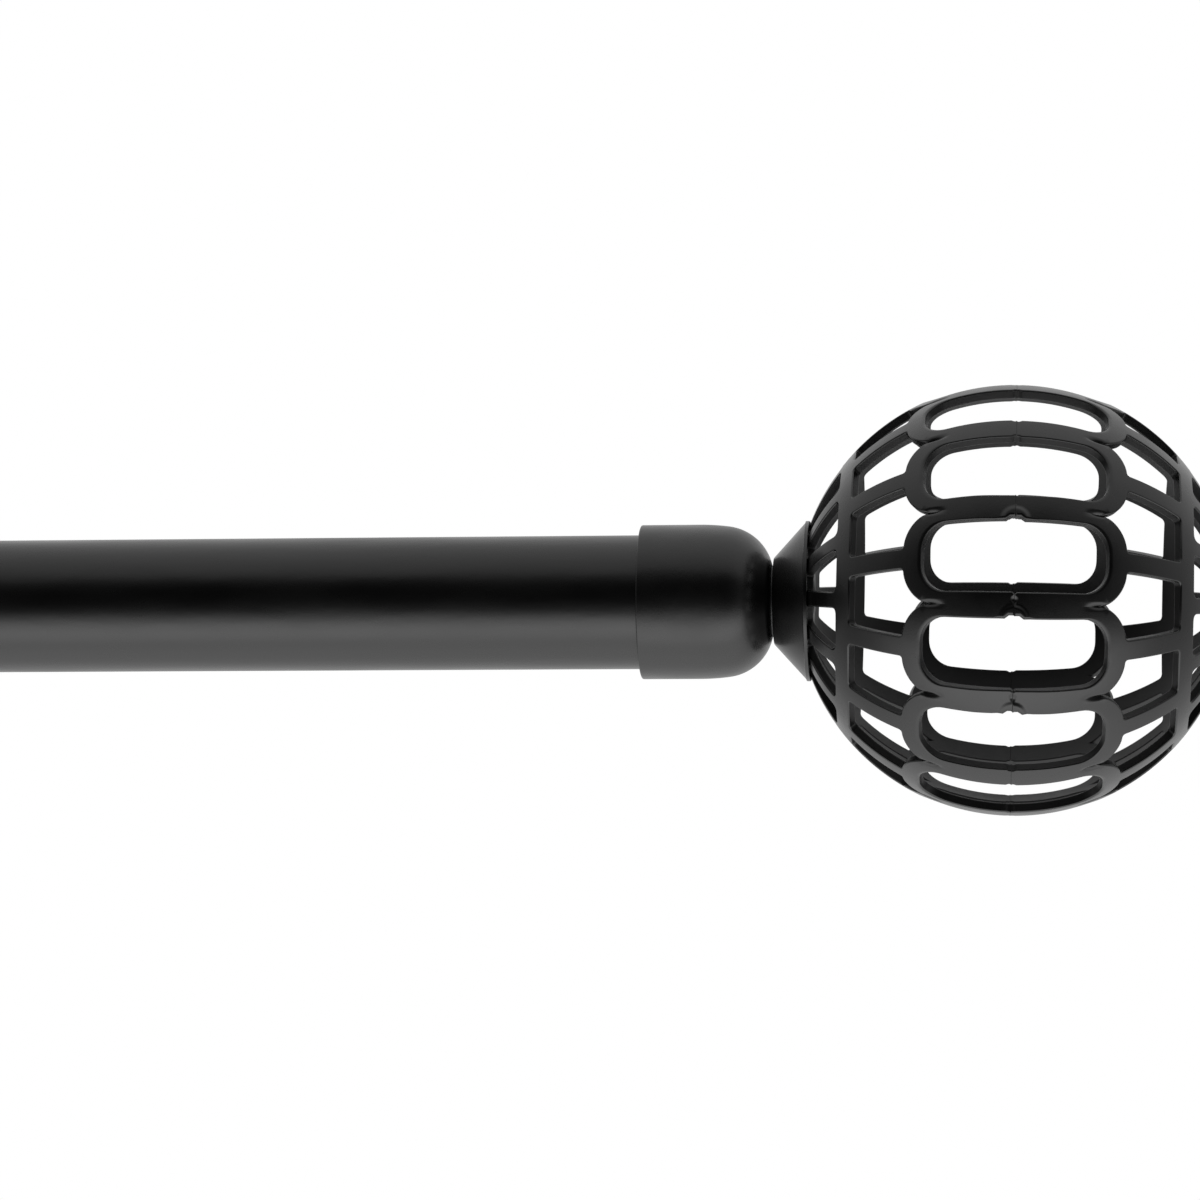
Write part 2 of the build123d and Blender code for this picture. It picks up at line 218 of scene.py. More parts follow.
def at_end(points, side):
    """From a shape drawn outward from the right cap's face to its place at either end."""
    p = np.asarray(points, float)
    return np.stack([side * (p[:, 0] + FACE_X), side * p[:, 1] + AXIS_Y, p[:, 2]], 1)


SEAT_TURN = np.array(Matrix.Rotation(SEAT_TILT, 3, "Y")).T


def seated(points, side):
    """From the ball's own axes to its place in its cup, turned as it hangs there."""
    return at_end(np.asarray(points, float) @ SEAT_TURN + (BALL_OUT, 0, 0), side)


def along_rod(points):
    return np.asarray(points, float) + (0, AXIS_Y, 0)


def pointing_out(points, side, start):
    """From a shape turned about X to one turned about -Y in front of a bracket."""
    p = np.asarray(points, float)
    return np.stack([side * BRACKET_X + p[:, 1], start - p[:, 0], p[:, 2]], 1)


def weld(points):
    """Merge points that coincide: the kept points and each old point's new index."""
    keys = np.round(points * 2000).astype(np.int64)
    _, first, back = np.unique(keys, axis=0, return_index=True, return_inverse=True)
    return points[first], back.reshape(-1), first


def cut_plate(name, outlines, thickness, bevel, matrix, body, node):
    """A painted plate: the first outline is its shape and the others are holes, its edges rounded."""
    curve = bpy.data.curves.new(name, "CURVE")
    curve.dimensions = "2D"
    curve.fill_mode = "BOTH"
    curve.extrude = (thickness / 2 - bevel) * MM
    curve.bevel_depth = bevel * MM
    curve.bevel_resolution = 3
    curve.offset = -bevel * MM
    for outline in outlines:
        spline = curve.splines.new("POLY")
        spline.points.add(len(outline) - 1)
        spline.use_cyclic_u = True
        for point, (x, y) in zip(spline.points, outline):
            point.co = (x * MM, y * MM, 0, 1)
    holder = new_object(name + "_outline", curve)
    mesh = evaluated_mesh(holder)
    bpy.data.objects.remove(holder)
    moved = matrix.copy()
    moved.translation *= MM
    mesh.transform(moved)
    mesh.name = name
    return add_piece(name, mesh, body, "bracket_paint", node)


def evaluated_mesh(thing):
    return bpy.data.meshes.new_from_object(thing.evaluated_get(bpy.context.evaluated_depsgraph_get()))


def apply_modifiers(piece):
    mesh = evaluated_mesh(piece)
    piece.modifiers.clear()
    piece.data = mesh


def combine(piece, points, faces, operation):
    """Join a shape to a piece, or cut it away."""
    other = new_object("scratch", new_mesh("scratch", points, faces))
    modifier = piece.modifiers.new("combine", "BOOLEAN")
    modifier.operation = operation
    modifier.solver = "EXACT"
    modifier.object = other
    apply_modifiers(piece)
    bpy.data.objects.remove(other)


def even_shading(piece):
    """Flat faces stay flat and rounded edges smooth."""
    smooth(piece.data)
    piece.modifiers.new("normals", "WEIGHTED_NORMAL").keep_sharp = True
    apply_modifiers(piece)


# ---- materials ----
class Shading:
    """A tree of shader nodes, with short ways to add a node and link it up."""

    def __init__(self, tree):
        self.tree = tree

    def fill(self, node, values):
        """Set each named input, or link it where the value is another node's output."""
        for key, value in dict(values).items():
            if isinstance(value, bpy.types.NodeSocket):
                self.tree.links.new(value, node.inputs[key])
            elif value is not None:
                node.inputs[key].default_value = value
        return node

    def add(self, kind, values=(), **settings):
        node = self.tree.nodes.new("ShaderNode" + kind)
        for key, value in settings.items():
            setattr(node, key, value)
        return self.fill(node, values)

    def noise(self, place, scale, detail=3.0, stretch=None):
        """Noise with features of about 1/scale metres."""
        if stretch:
            place = self.add("Mapping", {"Vector": place, "Scale": stretch}).outputs["Vector"]
        return self.add("TexNoise", {"Vector": place, "Scale": scale, "Detail": detail}).outputs["Fac"]

    def ramp(self, value, low, high, start=0.3, end=0.7):
        """Map a 0 to 1 value to a range of numbers or to a mix of two colours."""
        if isinstance(low, tuple):
            node = self.add("ValToRGB", {"Fac": value})
            for element, position, colour in zip(node.color_ramp.elements, (start, end), (low, high)):
                element.position, element.color = position, (*colour, 1)
            return node.outputs["Color"]
        ends = {"From Min": start, "From Max": end, "To Min": low, "To Max": high}
        return self.add("MapRange", {"Value": value, **ends}).outputs["Result"]

    def math(self, operation, *values):
        return self.add("Math", dict(enumerate(values)), operation=operation).outputs["Value"]

    def bump(self, height, distance, strength, below=None):
        values = {"Height": height, "Distance": distance, "Strength": strength, "Normal": below}
        return self.add("Bump", values).outputs["Normal"]


def new_material(name):
    """A material, its node tree, its shader and the places on the object that its nodes read."""
    material = bpy.data.materials.new(name)
    material.use_nodes = True
    tree = Shading(material.node_tree)
    return material, tree, tree.tree.nodes["Principled BSDF"], tree.add("TexCoord").outputs["Object"]


def times(factor, tone):
    return tuple(min(1.0, factor * c) for c in tone)


def satin_black(name, tone, roughness, grain, grain_depth, metallic=0.0, streaks=None, waviness=0.25):
    """Black paint or moulded plastic: slightly uneven tone and gloss over a fine grain."""
    material, tree, shader, place = new_material(name)
    patches = tree.noise(place, 45, 4, streaks)
    smudges = tree.noise(place, 110, 5, streaks)
    waves = tree.bump(tree.noise(place, 260, 2, streaks), 0.00012, waviness)
    tree.fill(shader, {
        "Base Color": tree.ramp(patches, times(0.8, tone), times(1.35, tone)),
        "Roughness": tree.ramp(smudges, roughness - 0.05, roughness + 0.06),
        "Normal": tree.bump(tree.noise(place, grain, 2), grain_depth, 0.5, waves),
        "Metallic": metallic,
    })
    return material


def bare_metal(name, tone, roughness, streaks):
    """Turned or plated metal with fine tool marks."""
    material, tree, shader, place = new_material(name)
    marks = tree.noise(place, 900, 3, streaks)
    tree.fill(shader, {
        "Base Color": tree.ramp(marks, times(0.75, tone), tone),
        "Roughness": tree.ramp(marks, roughness + 0.1, roughness - 0.05),
        "Normal": tree.bump(marks, 0.00004, 0.4),
        "Metallic": 1.0,
    })
    return material


def nylon(name, tone, roughness):
    material, tree, shader, place = new_material(name)
    cloud = tree.noise(place, 160, 3)
    tree.fill(shader, {
        "Base Color": tree.ramp(cloud, tone, times(1.25, tone)),
        "Roughness": tree.ramp(cloud, roughness - 0.06, roughness + 0.06),
        "Normal": tree.bump(tree.noise(place, 2600, 2), 0.00005, 0.4),
        "Subsurface Weight": 0.02,
    })
    return material


BLACK = (0.0013, 0.0013, 0.0013)
MATERIALS = {
    "tube_paint": satin_black("tube_paint", BLACK, 0.26, 2400, 0.00001, streaks=(0.35, 1, 1), waviness=0.4),
    "cap_black": satin_black("cap_black", BLACK, 0.28, 3000, 0.00002, waviness=0.35),
    "finial_black": satin_black("finial_black", BLACK, 0.25, 2600, 0.000015),
    "bracket_paint": satin_black("bracket_powder_coat", BLACK, 0.36, 1500, 0.00008),
    "screw_black": satin_black("black_oxide", (0.02, 0.02, 0.021), 0.35, 2200, 0.00003, metallic=0.6),
    "zinc_steel": bare_metal("zinc_plated_steel", (0.55, 0.56, 0.58), 0.28, (0.2, 1, 1)),
    "brass_insert": bare_metal("turned_brass", (0.70, 0.52, 0.24), 0.3, (6, 1, 1)),
    "black_nylon": nylon("black_nylon", (0.012, 0.012, 0.0125), 0.5),
    "clear_nylon": nylon("natural_nylon", (0.62, 0.60, 0.54), 0.45),
}
shaded_wall_black = satin_black("finial_walls_shaded", BLACK, 0.37, 2600, 0.000015)   # painted shade: a duller copy of the satin black with weaker reflections, for the opening walls and the inside of the ball
# the weaker reflection stands in for the shade in the openings and inside the ball: painted shade
shaded_wall_black.node_tree.nodes["Principled BSDF"].inputs["Specular IOR Level"].default_value = 0.35


# ---- rod, caps and necks ----
def tube(name, node, wall, body):
    low, high = span(node)
    radius = radius_of(node)
    outline = [
        (low.x, radius, 0.25), (high.x, radius, 0.25),
        (high.x, radius - wall, 0.2), (low.x, radius - wall, 0.2),
    ]
    turned_piece(name, outline, along_rod, body, "tube_paint", node, 160)


def mouth_ring():
    low, high = span("mouth_ring")
    outline = [
        (low.x, TUBE_R - 0.9, 0.3), (high.x, TUBE_R - 0.9, 0.2),
        (high.x, INNER_R + 0.05, 0.2), (low.x, INNER_R + 0.05, 0.5),
    ]
    turned_piece("mouth_guide_ring", outline, along_rod, "outer_rod", "black_nylon", "mouth_ring")


def shoulder_arc(start, end, slope, steps):
    """Points after start along the arc that leaves it at a slope and reaches end."""
    dx, dy = end[0] - start[0], end[1] - start[1]
    length = hypot(1, slope)
    tx, ty = 1 / length, slope / length
    radius = (dx * dx + dy * dy) / (2 * (dx * ty - dy * tx))
    cx, cy = start[0] + radius * ty, start[1] - radius * tx
    first, last = (atan2(y - cy, x - cx) for x, y in (start, end))
    angles = np.linspace(first, last, steps + 1)[1:]
    return [(cx + radius * cos(a), cy + radius * sin(a)) for a in angles], -(end[0] - cx) / (end[1] - cy)


def end_cap(name, side, body, node):
    """Domed cap: straight skirt with a soft rim, slow shoulder, round front and flat face."""
    shoulder, dome, face = (-13.5, CAP_R), (-8.0, CAP_R - 0.37), (0.0, 7.0)
    slow, slope = shoulder_arc(shoulder, dome, 0.0, 8)
    front, _ = shoulder_arc(dome, face, slope, 26)
    bore = TUBE_R + 0.05
    outline = [(-CAP_LENGTH, bore, 0.3), (-CAP_LENGTH, CAP_R, 0.3), shoulder, *slow, *front[:-1]]
    outline += [(*face, 0.25), (0.0, 3.3), (-6.2, 3.3), (-6.2, bore, 0.3)]
    turned_piece(name, outline, lambda p: at_end(p, side), body, "cap_black", node, 160)


def washer(name, side, body, node):
    low, high = span("right_finial_washer")
    thick, radius = high.x - low.x, radius_of(node)
    outline = [(0, 3.25), (0, radius, 0.12), (thick, radius, 0.12), (thick, 3.25)]
    turned_piece(name, outline, lambda p: at_end(p, side), body, "black_nylon", node)


def neck_cup(name, side, body, node):
    """Flared cup with a lip at its mouth and a seat that follows the ball."""
    back, mouth = cup_low.x - FACE_X, cup_high.x - FACE_X
    rim_r = radius_of(node)
    lip = mouth - 0.77
    seat_r = BALL_R + 0.02
    edge = sqrt(seat_r**2 - (BALL_OUT - mouth) ** 2)
    outline = [(back, 3.1), (back, 8.2, 0.35), (lip - 0.05, rim_r - 0.3, 0.2), (lip, rim_r, 0.12)]
    outline += [(mouth, rim_r, 0.2), (mouth, edge, 0.15)]
    for a in np.linspace(atan2(edge - 0.4, BALL_OUT - mouth), atan2(3.1, BALL_OUT - back - 4), 10):
        outline.append((BALL_OUT - seat_r * cos(a), seat_r * sin(a)))
    turned_piece(name, outline, lambda p: at_end(p, side), body, "finial_black", node, 160)


def thread(start, end, crest, depth, pitch, segments=40):
    """Rows, segments and radius rule of a right-handed thread with tapered ends."""
    step = pitch / 6
    count = round((end - start) / step)
    rows = [start] + [start + (end - start) * k / count for k in range(count + 1)] + [end]

    def radius_at(i, angle):
        if i in (0, len(rows) - 1):
            return 0.0
        x = rows[i]
        turn = (x / pitch - angle / (2 * pi)) % 1
        ridge = 1 - abs(2 * turn - 1)
        chamfer = max(0.0, 1.0 - min(x - start, end - x)) * depth
        return crest - max(depth * (1 - min(1.0, 1.35 * ridge)), chamfer)

    return rows, segments, radius_at


def finial_stud(name, side, body, node):
    low, high = span("right_finial_stud")
    points, faces = turned_grid(*thread(low.x - FACE_X, high.x - FACE_X, 2.99, 0.6, 1.0))
    faces = [tuple(reversed(f)) for f in faces]
    mesh_piece(name, at_end(points, side), faces, body, "zinc_steel", node)


def hub_insert(name, side, body, node):
    """Turned brass insert in a hub, its bore chamfered at both ends."""
    low, high = span(f"right_{node.split('_', 1)[1]}")
    start, end = (x - FACE_X - BALL_OUT for x in (low.x, high.x))
    radius = radius_of(node)
    outline = [(start, 3.35), (start, radius, 0.2), (end, radius, 0.2), (end, 3.35)]
    outline += [(end - 0.3, 3.03), (start + 0.3, 3.03)]
    turned_piece(name, outline, lambda p: seated(p, side), body, "brass_insert", node, 72)


def pole_button(name, side, body, node):
    """Low domed button on the outer pole."""
    low, high = span("right_pole_button")
    bottom, top = (x - FACE_X - BALL_OUT for x in (low.x, high.x))
    rim_r = radius_of(node)
    seat = sqrt(BALL_R**2 - rim_r**2)
    outline = [(bottom, 0), (bottom, 2.95, 0.3), (seat - 0.3, 2.95), (seat - 0.3, rim_r - 0.6)]
    outline += [(seat + 0.05, rim_r, 0.2), (seat + 0.45, rim_r, 0.3)]
    for k in range(1, 8):
        r = (rim_r - 0.5) * (1 - k / 8)
        outline.append((top - (top - seat - 0.75) * (r / rim_r) ** 2, r))
    outline.append((top, 0))
    turned_piece(name, outline, lambda p: seated(p, side), body, "finial_black", node, 72)


# ---- pierced ball ----
# One half of one cell is drawn in the cell's own axes: first towards the pole, second out
# through the middle of the oval, third round the ball. The rest are turned and mirrored copies.
def unit(vectors):
    return vectors / np.maximum(np.linalg.norm(vectors, axis=-1, keepdims=True), 1e-12)


def directions(u, v):
    """Unit directions of points on the plane that touches the ball at the middle of an oval."""
    u, v = np.broadcast_arrays(np.asarray(u, float), np.asarray(v, float))
    return unit(np.stack([u, np.full(u.shape, BALL_R), v], -1))


def at_latitude(latitude, turn):
    latitude, turn = np.broadcast_arrays(np.asarray(latitude, float), np.asarray(turn, float))
    r = np.cos(latitude)
    return np.stack([np.sin(latitude), r * np.cos(turn), r * np.sin(turn)], -1)


def arc(centre_u, centre_v, radius, start, end, steps):
    a = np.linspace(start, end, steps + 1)
    return directions(centre_u + radius * np.cos(a), centre_v + radius * np.sin(a))


def joint(first, second, trim):
    """Two runs of directions that meet in a corner, rounded over a distance on each side."""
    corner = first[-1]
    clear = trim * 1.3 / BALL_R
    first, second = (run[np.linalg.norm(run - corner, axis=1) > clear] for run in (first, second))
    start, end = (corner + unit(p - corner) * trim / BALL_R for p in (first[-1], second[0]))
    t = np.linspace(0, 1, 6)[:, None]
    bend = (1 - t) ** 2 * start + 2 * t * (1 - t) * corner + t**2 * end
    return np.concatenate([first, unit(bend), second])


def strut_edge(half_width, middle, start, end, steps):
    """Edge of a strut on the meridian `middle`, on the side nearer to the cell's half width."""
    latitude = np.linspace(start, end, steps + 1)
    turn = np.arcsin(half_width / (BALL_R * np.cos(latitude)))
    return at_latitude(latitude, turn if middle == 0 else middle - turn)


# Half width at the mouth, half width at the bottom and depth of the notches in a web at the seam.
NOTCHES = {
    "socket": (1.75, 0.95, 0.62), "nick": (0.42, 0.0, 0.38),
    "plain": (1.2, 0.6, 0.0), "slight": (0.95, 0.45, 0.3),
}
UPPER_NOTCHES = {0: "nick", 1: "plain", CELLS - 1: "nick"}   # in the upper edges of the socket webs


def oval_edge(notch):
    """From the oval's end on its middle meridian to its side at the seam, with a notch there."""
    length, height, corner = OVAL
    runs = [
        directions(np.full(3, length), np.linspace(0, height - corner, 4)[:-1]),
        arc(length - corner, height - corner, corner, 0, pi / 2, 10),
    ]
    half, top, depth = NOTCHES[notch]
    flat = np.linspace(length - corner, half, 12)[1:]
    runs.append(directions(flat, np.full(11, height)))
    slope = np.linspace(0, 1, 4)[1:]
    runs.append(directions(half + (top - half) * slope, height + depth * slope))
    if top > 0:
        runs.append(directions(np.linspace(top, 0, 4)[1:], np.full(3, height + depth)))
    return np.concatenate(runs)


def web_end(start):
    """Along the seam from the side of an oval to the middle of the web."""
    first = atan2(start[2], start[1])
    return at_latitude(np.zeros(4), np.linspace(first, PITCH / 2, 4))


def inner_opening():
    """Half of the opening between two rings and the band, from its point to the band's middle."""
    length, height, corner = RING
    centre_u, centre_v = length - corner, height - corner
    cusp_v = BALL_R * tan(PITCH / 2)
    cusp_angle = atan2(cusp_v - centre_v, sqrt(corner**2 - (cusp_v - centre_v) ** 2))
    strut_v = INNER_STRUT * sqrt(BALL_R**2 + length**2) / BALL_R
    foot_angle = atan2(strut_v - centre_v, sqrt(corner**2 - (strut_v - centre_v) ** 2))
    ring = arc(centre_u, centre_v, corner, cusp_angle, foot_angle, 16)
    foot_latitude = atan2(ring[-1][0], hypot(ring[-1][1], ring[-1][2]))
    strut = strut_edge(INNER_STRUT, 0, foot_latitude, BAND[0], 16)
    corner_turn = atan2(strut[-1][2], strut[-1][1])
    band = at_latitude(BAND[0], np.linspace(corner_turn, PITCH / 2, 10))
    return joint(joint(ring, strut, 0.6), band, 0.9)


def outer_opening():
    """Half of the opening beyond the band, from the band's middle round to the pole's side."""
    corner_turn = PITCH / 2 - np.arcsin(OUTER_STRUT / (BALL_R * cos(BAND[1])))
    pole_turn = PITCH / 2 - np.arcsin(OUTER_STRUT / (BALL_R * cos(POLE)))
    band = at_latitude(BAND[1], np.linspace(0, corner_turn, 7))
    strut = strut_edge(OUTER_STRUT, PITCH / 2, BAND[1], POLE, 16)
    pole = at_latitude(POLE, np.linspace(pole_turn, 0, 5))
    return joint(joint(band, strut, 1.3), pole, 0.5)


def mirrored(d, turn):
    """A direction reflected in the meridian plane at this turn."""
    normal = np.array([0.0, -sin(turn), cos(turn)])
    return d - 2 * np.dot(d, normal) * normal


def into_wall(run, before, after, web_point):
    """For each direction of a run, the mitred vector along the ball's surface into the wall."""
    chain = np.concatenate([[before], run, [after]])
    along = chain[1:] - chain[:-1]
    middle = (chain[1:] + chain[:-1]) / 2
    side = unit(np.cross(along, middle))
    nearest = np.argmin(np.linalg.norm(middle - web_point, axis=1))
    if np.dot(side[nearest], web_point - middle[nearest]) < 0:
        side = -side
    first, second = side[:-1], side[1:]
    lean = np.sum(first * second, axis=1, keepdims=True)
    return (first + second) / np.maximum(1 + lean, 0.25)


def on_web(d):
    """Millimetres up from the seam and across from the middle line of the web."""
    latitude = np.arcsin(d[..., 0])
    aside = PITCH / 2 - np.abs(np.arctan2(d[..., 2], d[..., 1]))
    return BALL_R * latitude, BALL_R * np.cos(latitude) * aside


CUSP = BALL_R * float(np.arcsin(inner_opening()[0][0]))     # from the seam to where two rings part
WEB_HALF = BALL_R * (PITCH / 2 - atan(OVAL[1] / BALL_R))    # half width of a web at the seam


def ease(t):
    t = np.clip(t, 0, 1)
    return t * t * (3 - 2 * t)


def crease(d):
    """Depth of the groove between two rings, near where they part."""
    up, across = on_web(d)
    along = ease(1.2 * (1 - (CUSP - up) / CREASE_LENGTH)) * np.clip(1 - (up - CUSP) / 1.5, 0, 1)
    return CREASE_DEPTH * along * np.clip(1 - across / CREASE_HALF, 0, 1) ** 2


def bumps(d, notch, half):
    """The boss round a pin socket on its slightly sunk web, and the dimple above it."""
    if notch == "slight":
        return np.zeros(d.shape[:-1])
    up, across = on_web(d)
    down = across if notch == "socket" else -across
    boss = BOSS_RISE[half] * ease((BOSS_R - np.hypot(up, WEB_HALF - down)) / BOSS_SLOPE)
    sink = max(BOSS_RISE.values()) * ease((8 - np.abs(up)) / 7)
    if notch == "plain":
        return boss - sink
    return boss - sink - DIMPLE_DEPTH * ease(1.3 * (1 - np.hypot(up, down + DIMPLE_OFF) / DIMPLE_R))


class HalfCell:
    """Collects the points, reference normals and faces of half a cell."""

    def __init__(self, notch, half):
        self.notch, self.half = notch, half
        self.points, self.normals, self.hard, self.matt, self.faces = [], [], [], [], []

    def level(self, d):
        """Radius of the outside in each direction."""
        return BALL_R + bumps(d, self.notch, self.half) - crease(d)

    def tilt(self, d):
        """What bumps and creases add to the outside's normal in each direction."""
        aside = unit(np.cross(d, (1.0, 0.0, 0.0)))
        step = 0.03
        total = np.zeros_like(d)
        for t in (aside, np.cross(d, aside)):
            rise, fall = (self.level(unit(d + t * way / BALL_R)) for way in (step, -step))
            total -= t * ((rise - fall) / (2 * step))[:, None]
        return total

    # the last flag marks points whose faces take the shaded copy of the black: painted shade
    def add(self, points, normals, hard=False, matt=True):
        start = len(self.points)
        points, normals = np.atleast_2d(points), np.atleast_2d(normals)
        self.points += list(points)
        self.normals += list(normals)
        flags = np.broadcast_to(hard, len(points))
        self.hard += list(flags)
        self.matt += [matt] * len(points)
        return np.arange(start, start + len(points))

    def strip(self, rows):
        for a, b in zip(rows, rows[1:]):
            self.faces += [(a[i], a[i + 1], b[i + 1], b[i]) for i in range(len(a) - 1)]


def wall_strip(cell, run, mitre, width, depth, hard):
    """Rounded outer edge, wall and rounded inner edge along a run. Returns its two top rows."""
    width, depth = (np.broadcast_to(v, len(run))[:, None] for v in (width, depth))
    inside_r = np.minimum(depth, INSIDE_R)
    side = unit(mitre)
    rows = []
    for lean in np.linspace(pi / 2, 0, 7):
        a = np.arctan2(depth * sin(lean), width * cos(lean))
        d = unit(run * BALL_R + mitre * width * (1 - np.cos(a)))
        level = cell.level(d)[:, None] - depth * (1 - np.sin(a))
        normals = sin(lean) * (run + cell.tilt(d)) - cos(lean) * side
        # the wall and its inner rounding take the shaded copy of the black: painted shade
        rows.append(cell.add(d * level, normals, hard, lean == 0))
    for a in (0, pi / 4, pi / 2):
        d = unit(run * BALL_R + mitre * inside_r * (1 - cos(a)))
        level = BALL_R - WALL + inside_r * (1 - sin(a))
        rows.append(cell.add(d * level, -sin(a) * run - cos(a) * side, hard))
    cell.strip(rows)
    return rows[0], rows[-1]


def inside_polygon(polygon, points):
    """Even-odd test of points against a closed polygon, both in the plane."""
    inside = np.zeros(len(points), bool)
    for (x0, y0), (x1, y1) in zip(polygon, np.roll(polygon, -1, axis=0)):
        crosses = (y0 > points[:, 1]) != (y1 > points[:, 1])
        with np.errstate(divide="ignore", invalid="ignore"):
            at = (x1 - x0) * (points[:, 1] - y0) / (y1 - y0) + x0
        inside ^= crosses & (points[:, 0] < at)
    return inside


def distance_to_outline(polygon, points):
    ends = np.roll(polygon, -1, axis=0)
    along = ends - polygon
    t = np.sum((points[:, None] - polygon) * along, -1) / np.maximum(np.sum(along**2, -1), 1e-12)
    near = polygon + np.clip(t, 0, 1)[..., None] * along
    return np.linalg.norm(points[:, None] - near, axis=-1).min(axis=1)


def flat_chart(d):
    """Directions laid out in a plane round the pole."""
    colatitude = np.arccos(np.clip(d[..., 0], -1, 1))
    turn = np.arctan2(d[..., 2], d[..., 1])
    return BALL_R * np.stack([colatitude * np.cos(turn), colatitude * np.sin(turn)], -1)


def filler_points(polygon, spacing):
    """Directions evenly spread over the wall inside an outline on the flat chart."""
    found = []
    for latitude in np.arange(0.4 * spacing, BALL_R * CAP_LAT, spacing) / BALL_R:
        count = max(2, round(BALL_R * cos(latitude) * PITCH / 2 / spacing))
        found.append(at_latitude(latitude, (np.arange(count) + 0.5) / count * PITCH / 2))
    found = np.concatenate(found)
    chart = flat_chart(found)
    keep = inside_polygon(polygon, chart) & (distance_to_outline(polygon, chart) > 0.45 * spacing)
    return found[keep]


def detail_points(notch):
    """Rows beside the crease, and rings round the socket and the dimple."""
    latitude = np.linspace(CUSP - 0.4, CUSP - CREASE_LENGTH, 11) / BALL_R
    beside = (0.12, 0.28, 0.48, 0.72, 1.0)
    r = BALL_R * np.cos(latitude)
    found = [at_latitude(latitude, PITCH / 2 - CREASE_HALF * b / r) for b in beside]
    if notch == "slight":
        return np.concatenate(found)
    sign = 1 if notch == "socket" else -1
    rings = [(radius, sign * WEB_HALF) for radius in np.arange(1.5, BOSS_R + 0.4, 0.22)]
    rings += [(radius, -sign * DIMPLE_OFF) for radius in (0.2, 0.45, 0.7, 0.9)]
    for radius, middle in rings:
        a = np.arange(0, pi, 0.22 / radius) + 0.11 / radius
        up, across = radius * np.sin(a), middle + radius * np.cos(a)
        found.append(at_latitude(up / BALL_R, PITCH / 2 - across / BALL_R)[across > 0.1])
    return np.concatenate(found)


def border(start, end, turn, spacing=1.2):
    """Directions between two latitudes on one of the cell's bounding meridians, ends left out."""
    first, last = (np.arcsin(d[0]) for d in (start, end))
    count = max(1, round(abs(last - first) * BALL_R / spacing))
    return at_latitude(np.linspace(first, last, count + 1)[1:-1], turn)


def half_cell(notch, half):
    """Half a cell of the wall, from the oval's middle meridian to the middle of the next web."""
    cell = HalfCell(notch, half)
    edge = PITCH / 2
    oval = oval_edge(notch)
    end = web_end(oval[-1])[1:]
    seam_run = np.concatenate([oval, end])
    inner, outer = inner_opening(), outer_opening()
    web_point = at_latitude(radians(8), edge)
    strut_point = at_latitude(radians(38), 0.0)
    band_point = at_latitude(sum(BAND) / 2, 0.0)

    mitre = into_wall(seam_run, mirrored(seam_run[1], 0), mirrored(seam_run[-2], edge), web_point)
    up = BALL_R * np.arcsin(seam_run[:, 0])
    width = EDGE_R + (RING_EDGE - EDGE_R) * ease((up - 12) / 4)
    if notch == "socket":
        width += (SOCKET_EDGE - EDGE_R) * ease(3.5 - up)
    depth = np.minimum(width, SOCKET_EDGE * 0.8 if notch == "socket" else EDGE_R)
    depth = np.where(up > 6, EDGE_R, depth)
    width[len(oval) - 1:] = depth[len(oval) - 1:] = SEAM_R
    hard = np.arange(len(seam_run)) == len(oval) - 1
    seam_top, seam_low = wall_strip(cell, seam_run, mitre, width, depth, hard)

    mitre = into_wall(inner, mirrored(inner[1], edge), mirrored(inner[-2], edge), strut_point)
    hard = np.arange(len(inner)) == 0
    inner_top, inner_low = wall_strip(cell, inner, mitre, EDGE_R, EDGE_R, hard)

    mitre = into_wall(outer, mirrored(outer[1], 0), mirrored(outer[-2], 0), band_point)
    outer_top, outer_low = wall_strip(cell, outer, mitre, EDGE_R, EDGE_R, False)

    def direction(index):
        return unit(cell.points[index])

    pole_ring = at_latitude(CAP_LAT, np.linspace(edge, 0, 5))
    borders = [
        border(direction(seam_top[-1]), direction(inner_top[0]), edge, 0.4),
        border(direction(inner_top[-1]), pole_ring[0], edge),
        border(pole_ring[-1], direction(outer_top[-1]), 0.0),
        border(direction(outer_top[0]), direction(seam_top[0]), 0.0),
    ]

    def skin(d, outside):
        level = cell.level(d) if outside else np.full(len(d), BALL_R - WALL)
        on_crease = (crease(d) > 0) & (np.abs(np.arctan2(d[:, 2], d[:, 1]) - edge) < 1e-9) & outside
        # the inside of the ball takes the shaded copy of the black: painted shade
        return cell.add(d * level[:, None], d + cell.tilt(d) if outside else -d, on_crease, not outside)

    loops = []
    lows = seam_low, inner_low, outer_low
    for outside, tops in ((True, (seam_top, inner_top, outer_top)), (False, lows)):
        web, strut, cap, band = (skin(b, outside) for b in borders)
        ring = skin(pole_ring, outside)
        loops.append(np.concatenate([tops[0], web, tops[1], strut, ring, cap, tops[2][::-1], band]))

    outline = flat_chart(np.array([direction(i) for i in loops[0]]))
    filler, detail = filler_points(outline, 1.25), detail_points(notch)
    near = np.linalg.norm(filler[:, None] - detail, axis=2).min(axis=1) * BALL_R
    chart = flat_chart(detail)
    keep = inside_polygon(outline, chart) & (distance_to_outline(outline, chart) > 0.1)
    inside = np.concatenate([filler[near > 0.35], detail[keep]])
    chart = np.concatenate([outline, flat_chart(inside)])
    count = len(outline)
    edges = [(i, (i + 1) % count) for i in range(count)]
    _, _, triangles, origin, _, _ = delaunay_2d_cdt([Vector(p) for p in chart], edges, [], 1, 1e-6)
    for outside, loop in zip((True, False), loops):
        index = np.concatenate([loop, skin(inside, outside)])
        cell.faces += [tuple(index[origin[i][0]] for i in t) for t in triangles]

    add_pole(cell, edge)
    return cell


